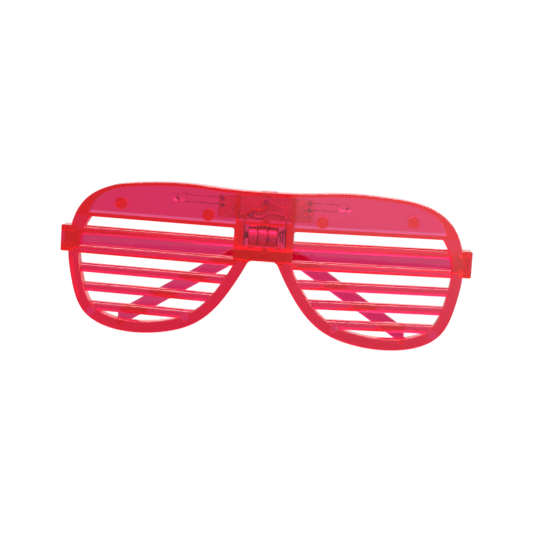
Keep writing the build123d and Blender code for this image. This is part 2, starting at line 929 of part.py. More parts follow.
# Insulated wires from the board to the contacts' tabs
wire_back = (panel_thickness + board_front) / 2
wire_end_height = tab_top + wire_solder_length
wire_parts = []
for name, pad, route, radii, tab_place in (
    ("positive_wire", positive_pad, positive_route, positive_bend_radii, tab_places[0]),
    ("negative_wire", negative_pad, negative_route, negative_bend_radii, tab_places[1]),
):
    first = Vector(route[0][0] - pad[0], 0, route[0][1] - pad[1]).normalized()
    start = Vector(pad[0], wire_back, board_bottom + pad[1]) + first * (wire_pad_radius + seat_gap)
    points = [start] + [Vector(across, wire_back, board_bottom + up) for across, up in route]
    points.append(Vector(tab_place, wire_back, wire_end_height + wire_drop))
    points.append(Vector(tab_place, wire_back, wire_end_height))
    with BuildPart() as wire:
        with BuildLine() as wire_line:
            FilletPolyline(*points, radius=list(radii))
        with BuildSketch(Plane(origin=start, z_dir=first)):
            Circle(wire_radius)
        sweep(path=wire_line.wire())
    wire.part.label = name
    wire_parts.append(wire.part)
    by_volume = wire.part.volume / (pi * wire_radius * wire_radius)
    print(name, "length", round(wire_line.wire().length, 1), "by volume", round(by_volume, 1))

with BuildPart() as solder_joints:
    for side in (-1, 1):
        for up in lead_heights:
            with BuildSketch(Plane.XZ.offset(-board_front)):
                with Locations((side * lead_pad_place, up)):
                    Circle(pad_radius)
            with BuildSketch(Plane.XZ.offset(-board_front + pad_height)):
                with Locations((side * lead_pad_place, up)):
                    Circle(pad_radius / 2)
            loft()
    with BuildSketch(Plane.XZ.offset(-board_front + overrun)):
        with Locations([(side * lead_pad_place, up) for side in (-1, 1) for up in lead_heights]):
            Circle(lead_radius + solder_fit)
    extrude(amount=-(2 * overrun), mode=Mode.SUBTRACT)
    for across, up in (positive_pad, negative_pad):
        with BuildSketch(Plane.XZ.offset(-board_front)):
            with Locations((across, board_bottom + up)):
                Circle(wire_pad_radius)
        extrude(amount=wire_pad_height)
    for tab_place in tab_places:
        with BuildSketch(Plane.XY.offset(tab_top)):
            with Locations((tab_place, wire_back)):
                Circle(wire_radius)
        extrude(amount=wire_solder_length)
solder_joints.part.label = "solder_joints"


# Temples, folded: the right one lies nearer the front
def temple(side, lean):
    """Temple hinged on one side, folded flat behind the front but for a small lean."""
    along = Vector(-side * cos(radians(lean)), -sin(radians(lean)), 0)
    sideways = along.cross(Vector(0, 0, 1))
    axis_foot = Vector(side * hinge_across, hinge_back, hinge_height)
    drop = Vector(cos(radians(ear_drop_angle)), -sin(radians(ear_drop_angle)))
    skew = (temple_bend_top + temple_bend_bottom) / 2 * tan(radians(ear_drop_angle / 2))
    upper_bend = Vector(temple_straight + skew, temple_bend_top)
    lower_bend = Vector(temple_straight - skew, -temple_bend_bottom)
    upper_tip = upper_bend + drop * (temple_ear - skew)
    lower_tip = lower_bend + drop * (temple_ear + skew)
    with BuildPart() as arm:
        with BuildSketch(Plane(origin=axis_foot, x_dir=along, z_dir=sideways)) as blade:
            with BuildLine():
                Polyline(
                    (temple_shoulder, -temple_root_bottom),
                    (temple_shoulder, temple_root_top),
                    upper_bend,
                    upper_tip,
                    lower_tip,
                    lower_bend,
                    close=True,
                )
            make_face()
            for corner, radius in (
                (upper_bend, ear_upper_radius),
                (lower_bend, ear_lower_radius),
                (upper_tip, tip_corner_radius),
                (lower_tip, tip_corner_radius),
            ):
                fillet(blade.vertices().sort_by_distance(corner)[0], radius=radius)
        extrude(amount=temple_thickness / 2, both=True)
        flat_sides = arm.faces().filter_by(Axis(axis_foot, sideways))
        fillet(flat_sides.edges(), radius=temple_edge_radius)
        knuckle_foot = axis_foot - Vector(0, 0, knuckle_height / 2)
        with BuildSketch(Plane(origin=knuckle_foot, x_dir=along, z_dir=(0, 0, 1))):
            Circle(knuckle_radius)
            with Locations((temple_shoulder / 2 + temple_edge_radius, 0)):
                Rectangle(temple_shoulder + 2 * temple_edge_radius, temple_thickness)
        extrude(amount=knuckle_height)
        with Locations(axis_foot):
            Cylinder(trunnion_radius, knuckle_height + 2 * trunnion_length)
    return arm.part


right_temple = temple(1, fold_lean_angle)
left_temple = temple(-1, -fold_lean_angle)
right_temple.label = "right_temple"
left_temple.label = "left_temple"

os.makedirs("parts", exist_ok=True)
export_step(front_frame.part, "parts/front_frame.step")
export_step(back_cover.part, "parts/back_cover.step")
export_step(battery_door.part, "parts/battery_door.step")
export_step(battery_door_screw.part, "parts/battery_door_screw.step")
export_step(plate_contact.part, "parts/plate_contact.step")
export_step(spring_contact.part, "parts/spring_contact.step")
export_step(circuit_board.part, "parts/circuit_board.step")
export_step(flasher_chip.part, "parts/flasher_chip.step")
export_step(tact_switch.part, "parts/tact_switch.step")
export_step(switch_plunger.part, "parts/switch_plunger.step")
export_step(push_button.part, "parts/push_button.step")
export_step(solder_joints.part, "parts/solder_joints.step")
export_step(right_temple, "parts/right_temple.step")
export_step(left_temple, "parts/left_temple.step")
for piece in cells + led_parts + lead_parts + wire_parts:
    export_step(piece, f"parts/{piece.label}.step")
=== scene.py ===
"""Slatted novelty glasses in clear red styrene, with a flasher in the brow and three button cells.

The small pieces' own values are in millimetres and the scene is in metres. +Z is up, +Y is towards
the wearer and +X is to the viewer's right.
"""

import logging
import math
from dataclasses import dataclass
from enum import Enum

import bmesh
import bpy
import numpy as np
from mathutils import Matrix, Vector


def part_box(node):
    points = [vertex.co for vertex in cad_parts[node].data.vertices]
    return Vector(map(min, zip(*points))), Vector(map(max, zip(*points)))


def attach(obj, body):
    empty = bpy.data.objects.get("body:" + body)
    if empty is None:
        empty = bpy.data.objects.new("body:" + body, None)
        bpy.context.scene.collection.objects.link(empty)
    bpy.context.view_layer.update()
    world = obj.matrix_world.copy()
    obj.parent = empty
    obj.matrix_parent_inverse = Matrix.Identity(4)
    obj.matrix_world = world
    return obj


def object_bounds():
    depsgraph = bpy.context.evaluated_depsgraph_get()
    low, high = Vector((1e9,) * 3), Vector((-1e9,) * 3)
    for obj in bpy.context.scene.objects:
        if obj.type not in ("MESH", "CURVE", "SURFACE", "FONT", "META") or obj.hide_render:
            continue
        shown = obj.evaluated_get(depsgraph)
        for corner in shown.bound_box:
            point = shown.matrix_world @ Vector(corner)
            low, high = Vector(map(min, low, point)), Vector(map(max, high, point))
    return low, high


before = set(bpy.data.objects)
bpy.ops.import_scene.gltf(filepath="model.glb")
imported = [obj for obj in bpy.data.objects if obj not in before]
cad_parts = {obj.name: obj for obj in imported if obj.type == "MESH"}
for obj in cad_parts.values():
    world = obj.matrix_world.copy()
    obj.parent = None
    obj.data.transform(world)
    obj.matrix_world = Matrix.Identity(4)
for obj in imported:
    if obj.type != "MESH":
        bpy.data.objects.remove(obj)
CAD_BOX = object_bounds()
LOG = logging.getLogger("glasses")

Grid = np.ndarray
Socket = bpy.types.NodeSocket
Tree = bpy.types.NodeTree
Pair = tuple[float, float]
Triple = tuple[float, float, float]

MM = 0.001
MERGE_MM = 0.0005
SHARP_DEGREES = 40
DOME_STEPS = 6
RIGHT = np.array([1.0, 0.0, 0.0])
FRONT = np.array([0.0, -1.0, 0.0])
UP = np.array([0.0, 0.0, 1.0])
# An axis nearer to upright than this takes RIGHT as its helper
UPRIGHT_SHARE = 0.9

# The sRGB curve: a straight foot up to its knee, then a power
SRGB_KNEE = 0.04045
SRGB_FOOT = 12.92
SRGB_OFFSET = 0.055
SRGB_POWER = 2.4

# Most of a noise lies between these values
NOISE_LOW = 0.3
NOISE_HIGH = 0.7
# Layers of finer noise on top of the first
SMOOTH = 1.0
UNEVEN = 2.0
FINE = 4.0

# Sockets of the Mix node when it mixes colours
MIX_FIRST = 6
MIX_SECOND = 7
MIX_RESULT = 2


def linear(code: str) -> tuple[float, float, float, float]:
    """Turns an sRGB hex colour to linear light.

    Args:
        code: six hex digits.

    Returns:
        Red, green, blue and an alpha of 1.
    """
    shares = np.array([int(code[i : i + 2], 16) for i in (0, 2, 4)]) / 255
    curve = ((shares + SRGB_OFFSET) / (1 + SRGB_OFFSET)) ** SRGB_POWER
    lit = np.where(shares <= SRGB_KNEE, shares / SRGB_FOOT, curve)
    return (*(float(v) for v in lit), 1.0)


def add_node(tree: Tree, kind: str, inputs: dict | None = None, **settings) -> bpy.types.Node:
    """Adds a node with its settings, input values and links.

    Args:
        tree: the material's or the world's tree.
        kind: the node's type, without ShaderNode before it.
        inputs: values or sockets by input name or number.
        settings: the node's own properties.

    Returns:
        The new node.
    """
    node = tree.nodes.new("ShaderNode" + kind)
    for name, value in settings.items():
        setattr(node, name, value)
    for name, value in (inputs or {}).items():
        if isinstance(value, Socket):
            tree.links.new(value, node.inputs[name])
        else:
            node.inputs[name].default_value = value
    return node


def new_material(name: str) -> tuple[bpy.types.Material, Tree]:
    """Makes an empty node material.

    Args:
        name: the material's name.

    Returns:
        The material and its tree.
    """
    material = bpy.data.materials.new(name)
    material.use_nodes = True
    material.node_tree.nodes.clear()
    return material, material.node_tree


def object_place(tree: Tree, stretch: Triple = (1.0, 1.0, 1.0)) -> Socket:
    """Object coordinates, stretched along the axes.

    Args:
        tree: the material's tree.
        stretch: scale along each axis.

    Returns:
        The mapped place.
    """
    place = add_node(tree, "TexCoord").outputs["Object"]
    return add_node(tree, "Mapping", {"Vector": place, "Scale": stretch}).outputs[0]


def noise(tree: Tree, place: Socket, size_mm: float, detail: float) -> Socket:
    """Noise whose blobs have a real size.

    Args:
        tree: the material's tree.
        place: where the noise is read.
        size_mm: width of a blob in millimetres.
        detail: finer layers on top.

    Returns:
        A value from 0 to 1.
    """
    inputs = {"Vector": place, "Scale": 1 / (size_mm * MM), "Detail": detail}
    return add_node(tree, "TexNoise", inputs).outputs[0]


def spread(tree: Tree, value: Socket, low: float, high: float) -> Socket:
    """Maps the middle of a noise to a range, and holds the range's ends beyond it.

    Args:
        tree: the material's tree.
        value: the noise.
        low: result at NOISE_LOW and under it.
        high: result at NOISE_HIGH and over it.

    Returns:
        The mapped value.
    """
    limits = {"Value": value, "From Min": NOISE_LOW, "From Max": NOISE_HIGH, "To Min": low, "To Max": high}
    return add_node(tree, "MapRange", limits).outputs[0]


def mixed(tree: Tree, share: Socket, first: str, second: str) -> Socket:
    """Mixes two hex colours by a share.

    Args:
        tree: the material's tree.
        share: 0 for the first, 1 for the second.
        first: hex colour.
        second: hex colour.

    Returns:
        The mixed colour.
    """
    colours = {"Factor": share, MIX_FIRST: linear(first), MIX_SECOND: linear(second)}
    return add_node(tree, "Mix", colours, data_type="RGBA").outputs[MIX_RESULT]


def combined(tree: Tree, operation: str, first: Socket | float, second: Socket | float) -> Socket:
    """Combines two values in a Math node.

    Args:
        tree: the material's or the world's tree.
        operation: the node's operation.
        first: value or socket.
        second: value or socket.

    Returns:
        The result.
    """
    return add_node(tree, "Math", {0: first, 1: second}, operation=operation).outputs[0]


def bumped(tree: Tree, heights: list[tuple[Socket, float]]) -> Socket:
    """Stacks bumps whose heights are real.

    Args:
        tree: the material's tree.
        heights: noises with their height in millimetres.

    Returns:
        The surface normal.
    """
    normal = None
    for height, rise_mm in heights:
        inputs = {"Height": height, "Distance": rise_mm * MM, "Strength": 1.0}
        if normal is not None:
            inputs["Normal"] = normal
        normal = add_node(tree, "Bump", inputs).outputs[0]
    return normal


@dataclass(frozen=True)
class ClearStyrene:
    """Injection-moulded polystyrene, dyed through: clear, glossy, deep red where it is thick.

    The dye takes nearly all green and most blue out of the light per millimetre, so a thin panel is
    pink and an edge seen lengthwise is red. Flow lines and packing waves bend what is seen through it.
    """

    name: str
    dye_per_mm: Triple = (0.0, 1.2, 0.62)
    body_hex: str = "FFF0F6"
    flow_hex: str = "FFF6FA"
    clarity: float = 1.0
    rough: Pair = (0.025, 0.06)
    ior: float = 1.59
    wave_mm: float = 7.0
    wave_height_mm: float = 0.004
    wave_stretch: Triple = (0.35, 1.0, 1.0)
    haze_mm: float = 1.4
    haze_height_mm: float = 0.0006

    def material(self) -> bpy.types.Material:
        """Makes the node material: Principled glass round an absorbing volume.

        Returns:
            The material.
        """
        material, tree = new_material(self.name)
        flow = noise(tree, object_place(tree, self.wave_stretch), self.wave_mm, SMOOTH)
        haze = noise(tree, object_place(tree), self.haze_mm, FINE)
        shader = add_node(
            tree,
            "BsdfPrincipled",
            {
                "Base Color": mixed(tree, spread(tree, flow, 0, 1), self.body_hex, self.flow_hex),
                "Roughness": spread(tree, haze, *self.rough),
                "IOR": self.ior,
                "Transmission Weight": self.clarity,
                "Normal": bumped(tree, [(flow, self.wave_height_mm), (haze, self.haze_height_mm)]),
            },
        )
        most = max(self.dye_per_mm)
        passed = [1 - share / most for share in self.dye_per_mm]
        dye = add_node(tree, "VolumeAbsorption", {"Color": (*passed, 1.0), "Density": most / MM})
        add_node(tree, "OutputMaterial", {"Surface": shader.outputs[0], "Volume": dye.outputs[0]})
        return material


class Grain(Enum):
    """How a solid finish's surface was made.

    Each has the stretch of its marks along X, Y and Z, and their size in millimetres.
    """

    MOULDED = ((1.0, 1.0, 1.0), 0.25)
    DRAWN_ACROSS = ((0.06, 1.0, 1.0), 0.12)
    DRAWN_UP = ((1.0, 1.0, 0.06), 0.12)
    POURED = ((1.0, 1.0, 1.0), 0.6)
    TURNED = ((1.0, 0.06, 0.06), 0.15)


@dataclass(frozen=True)
class SolidFinish:
    """A finish with no dye inside: two mixed shades, a grain, and gloss that varies with the grain."""

    name: str
    shade_hex: str
    other_hex: str
    rough: Pair
    grain: Grain = Grain.MOULDED
    grain_height_mm: float = 0.002
    metallic: float = 0.0
    ior: float = 1.5
    transmission: float = 0.0
    coat: float = 0.0
    blotch_mm: float = 1.2

    def material(self) -> bpy.types.Material:
        """Makes the node material.

        Returns:
            The material.
        """
        material, tree = new_material(self.name)
        stretch, size_mm = self.grain.value
        marks = noise(tree, object_place(tree, stretch), size_mm, FINE)
        blotches = noise(tree, object_place(tree), self.blotch_mm, UNEVEN)
        shader = add_node(
            tree,
            "BsdfPrincipled",
            {
                "Base Color": mixed(tree, spread(tree, blotches, 0, 1), self.shade_hex, self.other_hex),
                "Roughness": spread(tree, marks, *self.rough),
                "Metallic": self.metallic,
                "IOR": self.ior,
                "Transmission Weight": self.transmission,
                "Coat Weight": self.coat,
                "Normal": bumped(tree, [(marks, self.grain_height_mm)]),
            },
        )
        add_node(tree, "OutputMaterial", {"Surface": shader.outputs[0]})
        return material


Finish = ClearStyrene | SolidFinish

# Clear dyed styrene: one resin, a little paler in the temples, which are moulded on their own
RED_FRONT = ClearStyrene("clear_red_styrene_front")
RED_COVER = ClearStyrene("clear_red_styrene_cover")
RED_TEMPLES = ClearStyrene(
    "clear_red_styrene_temples", dye_per_mm=(0.0, 1.0, 0.55), body_hex="EFE6F4", flow_hex="F4ECF7"
)
RED_BUTTON = ClearStyrene("clear_red_styrene_button", clarity=0.8)
# Paper laminate, punched: pale tan, lets some light through, with fibres drawn lengthwise
LAMINATE = SolidFinish(
    "paper_laminate",
    "FFF0DC",
    "FFE6C4",
    rough=(0.45, 0.6),
    grain=Grain.DRAWN_ACROSS,
    transmission=0.3,
    blotch_mm=2.5,
)
# Glob-top epoxy: black, poured, with a soft shine
EPOXY = SolidFinish(
    "poured_epoxy", "0B0B0C", "151416", rough=(0.2, 0.35), grain=Grain.POURED, grain_height_mm=0.01
)
# Tin solder, frozen from the melt: bright with grey crystal patches
SOLDER = SolidFinish(
    "frozen_solder",
    "C9C9C6",
    "A9AAA8",
    rough=(0.15, 0.35),
    grain=Grain.POURED,
    grain_height_mm=0.008,
    metallic=1.0,
    blotch_mm=0.5,
)
# Glass-filled nylon: black, matt
NYLON = SolidFinish("moulded_nylon", "2A2A2C", "343436", rough=(0.45, 0.6))
# Acetal key: ivory, waxy
ACETAL = SolidFinish("moulded_acetal", "D9D4C6", "CFC9B9", rough=(0.35, 0.5))
# Water-clear epoxy, cast in a cup
CAST_EPOXY = SolidFinish(
    "cast_clear_epoxy",
    "FFFFFF",
    "F7F8FA",
    rough=(0.12, 0.2),
    grain=Grain.POURED,
    grain_height_mm=0.001,
    transmission=1.0,
)
# Tinned iron lead wire: drawn along its length
TINNED = SolidFinish(
    "tinned_lead_wire", "BDBDBA", "9C9D9B", rough=(0.2, 0.4), grain=Grain.DRAWN_ACROSS, metallic=1.0
)
# Nickel-plated drawn steel can: bright with faint turning marks
NICKEL = SolidFinish(
    "nickel_plated_can",
    "F2E9E0",
    "D8CDC4",
    rough=(0.28, 0.42),
    grain=Grain.TURNED,
    grain_height_mm=0.003,
    metallic=1.0,
)
# Nickel-plated spring steel: duller, from a strip
SPRING_STEEL = SolidFinish(
    "nickel_plated_spring_steel",
    "BFBDB7",
    "A6A39C",
    rough=(0.18, 0.36),
    grain=Grain.DRAWN_UP,
    metallic=1.0,
)
# PVC insulation, extruded: soft shine
RED_PVC = SolidFinish("red_pvc_insulation", "F4584C", "EE4A40", rough=(0.3, 0.45))
WHITE_PVC = SolidFinish("white_pvc_insulation", "FBF8F2", "F4F0E8", rough=(0.3, 0.45))
# Zinc-plated screw steel: pale grey, cold-headed
ZINC = SolidFinish(
    "zinc_plated_steel",
    "D6D8DA",
    "C2C4C7",
    rough=(0.25, 0.45),
    grain=Grain.POURED,
    grain_height_mm=0.003,
    metallic=1.0,
)
# Copper foil under solder mask: slightly darker than the laminate, with a soft coat
COPPER = SolidFinish(
    "masked_copper",
    "F3D9B4",
    "ECCFA6",
    rough=(0.3, 0.45),
    grain=Grain.DRAWN_ACROSS,
    grain_height_mm=0.001,
    coat=0.3,
)
# Diced semiconductor: grey, glassy
SEMICONDUCTOR = SolidFinish(
    "diced_semiconductor", "8E8A72", "7C7963", rough=(0.1, 0.25), grain_height_mm=0.001
)
# Gold bond wire, drawn
GOLD = SolidFinish(
    "drawn_gold",
    "F2C45A",
    "E0AE43",
    rough=(0.1, 0.2),
    grain=Grain.DRAWN_ACROSS,
    grain_height_mm=0.0005,
    metallic=1.0,
)

NODE_FINISHES: dict[str, Finish] = {
    "front_frame": RED_FRONT,
    "back_cover": RED_COVER,
    "battery_door": RED_COVER,
    "left_temple": RED_TEMPLES,
    "right_temple": RED_TEMPLES,
    "push_button": RED_BUTTON,
    "circuit_board": LAMINATE,
    "flasher_chip": EPOXY,
    "solder_joints": SOLDER,
    "tact_switch": NYLON,
    "switch_plunger": ACETAL,
    "left_led": CAST_EPOXY,
    "right_led": CAST_EPOXY,
    "left_led_leads": TINNED,
    "right_led_leads": TINNED,
    "button_cell_1": NICKEL,
    "button_cell_2": NICKEL,
    "button_cell_3": NICKEL,
    "spring_contact": SPRING_STEEL,
    "plate_contact": SPRING_STEEL,
    "positive_wire": RED_PVC,
    "negative_wire": WHITE_PVC,
    "battery_door_screw": ZINC,
}


def dressed(finish: Finish) -> bpy.types.Material:
    """The material of a finish, made the first time it is asked for."""
    return bpy.data.materials.get(finish.name) or finish.material()


def dress(finishes: dict[str, Finish]) -> None:
    """Gives each CAD node the material of its finish.

    Args:
        finishes: finish of each node.
    """
    for name, finish in finishes.items():
        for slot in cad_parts[name].material_slots:
            slot.material = dressed(finish)
        LOG.info("%s: %s", name, finish.name)


def in_mm(corners: tuple[Vector, Vector]) -> tuple[Grid, Grid]:
    """A box's low and high corners, from metres to millimetres."""
    low, high = corners
    return np.array(low) / MM, np.array(high) / MM


def grid_mesh(name: str, grids: list[Grid], round_columns: bool) -> bpy.types.Object:
    """Makes one mesh of quads from grids of points, with doubled points merged on a closed piece.

    Args:
        name: the piece's name.
        grids: each rows by columns by 3, in metres.
        round_columns: whether the columns join up, as they do on a closed piece.

    Returns:
        The new object, at the origin, its faces outwards where it is closed.
    """
    points, quads, count = [], [], 0
    for grid in grids:
        rows, columns = grid.shape[:2]
        index = np.arange(count, count + rows * columns).reshape(rows, columns)
        both = np.hstack([index, index[:, :1]]) if round_columns else index
        corners = [both[:-1, :-1], both[:-1, 1:], both[1:, 1:], both[1:, :-1]]
        quads.append(np.stack(corners, axis=-1).reshape(-1, 4))
        points.append(grid.reshape(-1, 3))
        count += rows * columns
    mesh = bpy.data.meshes.new(name)
    mesh.from_pydata(np.vstack(points), [], np.vstack(quads))
    if round_columns:
        shape = bmesh.new()
        shape.from_mesh(mesh)
        bmesh.ops.remove_doubles(shape, verts=shape.verts, dist=MERGE_MM * MM)
        bmesh.ops.recalc_face_normals(shape, faces=shape.faces)
        shape.to_mesh(mesh)
        shape.free()
    mesh.polygons.foreach_set("use_smooth", np.ones(len(mesh.polygons), dtype=bool))
    mesh.set_sharp_from_angle(angle=math.radians(SHARP_DEGREES))
    piece = bpy.data.objects.new(name, mesh)
    bpy.context.scene.collection.objects.link(piece)
    return piece


def full_turn(sides: int) -> Grid:
    """Angles of even steps round a circle, without the last, which is the first again."""
    return np.arange(sides) * 2 * np.pi / sides


def revolved(profile: Grid, foot: Grid, axis: Grid, sides: int = 48) -> Grid:
    """Surface of revolution: foot + axis * along + radius * (first * cos t + second * sin t).

    Args:
        profile: rows of place along the axis and radius, in millimetres.
        foot: point on the axis, in millimetres.
        axis: unit direction.
        sides: steps of t round the axis.

    Returns:
        Profile rows by sides by 3, in metres.
    """
    helper = UP if abs(axis[2]) < UPRIGHT_SHARE else RIGHT
    first = np.cross(helper, axis)
    first /= np.linalg.norm(first)
    second = np.cross(axis, first)
    turn = full_turn(sides)
    ring = np.cos(turn)[:, None] * first + np.sin(turn)[:, None] * second
    along, radius = profile[:, 0, None, None], profile[:, 1, None, None]
    return (foot + axis * along + ring[None] * radius) * MM


def ring_profile(middle: float, half_width: float, height: float, steps: int) -> Grid:
    """Closed oval profile of a ring: along = height * sin t, radius = middle + half_width * cos t.

    Args:
        middle: radius of the oval's middle, in millimetres.
        half_width: half of the oval across the ring.
        height: half of the oval along the axis.
        steps: steps of t round the oval.

    Returns:
        Rows of place along the axis and radius, the last the first again.
    """
    turn = np.linspace(0, 2 * np.pi, steps + 1)[:-1]
    closed = np.append(turn, turn[0])
    return np.stack([height * np.sin(closed), middle + half_width * np.cos(closed)], axis=1)


def domed_profile(foot: float, shoulder: float, rise: float, radius: float) -> Grid:
    """Profile of a peg with a domed top: shoulder + rise * sin t along, and radius * cos t out.

    Args:
        foot: where the peg starts, in millimetres along its axis.
        shoulder: where its dome starts.
        rise: the dome's height.
        radius: the peg's radius.

    Returns:
        Rows of place along the axis and radius, from the foot's middle to the dome's top.
    """
    turn = np.linspace(0, np.pi / 2, DOME_STEPS)
    dome = np.stack([shoulder + rise * np.sin(turn), radius * np.cos(turn)], axis=1)
    return np.vstack([[foot, 0], [foot, radius], dome])


def carried(path: Grid, width: Grid, height: Grid, over: Grid, sides: int = 12) -> Grid:
    """Elliptical section on a path: path + side * width / 2 * cos t + over * height / 2 * sin t.

    Args:
        path: points in millimetres.
        width: section's width at each point.
        height: section's height at each point.
        over: unit direction of the height.
        sides: steps of t round the section.

    Returns:
        Path points, with a closing pole at each end, by sides by 3, in metres.
    """
    way = np.gradient(path, axis=0)
    way /= np.linalg.norm(way, axis=1, keepdims=True)
    side = np.cross(way, over)
    side /= np.linalg.norm(side, axis=1, keepdims=True)
    turn = full_turn(sides)
    across = side[:, None] * (width[:, None, None] / 2) * np.cos(turn)[None, :, None]
    upwards = over[None, None] * (height[:, None, None] / 2) * np.sin(turn)[None, :, None]
    rings = path[:, None] + across + upwards
    poles = np.repeat(path[[0, -1], None], sides, axis=1)
    return np.vstack([poles[:1], rings, poles[1:]]) * MM


def eased(corners: list, step: float, softness: int, fewest: int = 4) -> Grid:
    """Points along straight runs, each averaged with its neighbours so that the corners are soft.

    Args:
        corners: points of the runs, in millimetres.
        step: distance between points.
        softness: neighbours on each side in the average.
        fewest: least number of points.

    Returns:
        Points by 3.
    """
    marks = np.array(corners, dtype=float)
    reach = np.concatenate([[0], np.cumsum(np.linalg.norm(np.diff(marks, axis=0), axis=1))])
    places = np.linspace(0, reach[-1], max(fewest, int(reach[-1] / step)))
    points = np.stack([np.interp(places, reach, marks[:, i]) for i in range(3)], axis=1)
    padded = np.pad(points, ((softness, softness), (0, 0)), mode="edge")
    window = np.ones(2 * softness + 1) / (2 * softness + 1)
    return np.stack([np.convolve(padded[:, i], window, mode="valid") for i in range(3)], axis=1)


@dataclass
class Fitting:
    """Base of the small sub-assemblies: makes a piece of grids, dresses it and rides it on the front."""

    finish: SolidFinish
    slot: str

    def place(self, name: str, grids: list[Grid], finish: SolidFinish | None = None, slot: str = "") -> None:
        """Makes one piece of several closed grids.

        Args:
            name: the piece's name.
            grids: rows by columns by 3, closed round the columns.
            finish: its finish, if it isn't the fitting's own.
            slot: not used.
        """
        piece = grid_mesh(name, grids, True)
        piece.data.materials.append(dressed(finish or self.finish))
        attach(piece, "root")
        LOG.info("%s: %d faces", name, len(piece.data.polygons))


@dataclass
class CellSeals(Fitting):
    """Nylon seal in the mouth of each button cell, and the rolled lip of its can."""

    cap_height: float = 0.35
    cap_radius: float = 3.2
    seal_width: float = 0.42
    seal_proud: float = 0.22
    lip_radius: float = 0.1
    profile_steps: int = 16

    def build(self) -> None:
        """Lays a ring with a rounded top between cap and can, and a bead round it, on each cell."""
        half = self.seal_width / 2
        seal = ring_profile(self.cap_radius + half, half, self.seal_proud, self.profile_steps)
        lip_middle = self.cap_radius + self.seal_width + self.lip_radius
        lip = ring_profile(lip_middle, self.lip_radius, self.lip_radius, self.profile_steps)
        for number in (1, 2, 3):
            low, high = in_mm(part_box(f"button_cell_{number}"))
            mouth = (low + high) / 2
            mouth[0] = high[0] - self.cap_height
            self.place(f"cell_{number}_seal", [revolved(seal, mouth, RIGHT)])
            self.place(f"cell_{number}_lip", [revolved(lip, mouth, RIGHT)], NICKEL)


@dataclass(frozen=True)
class LensAxes:
    """Where a light's lens lies: its foot, the direction of its tip and that of the viewer."""

    foot: Grid
    outwards: Grid
    front: Grid

    def spot(self, along: float, rise: float) -> Grid:
        """The point this far from the lens's foot and this high over its axis, in millimetres."""
        return self.foot + self.outwards * along + UP * rise


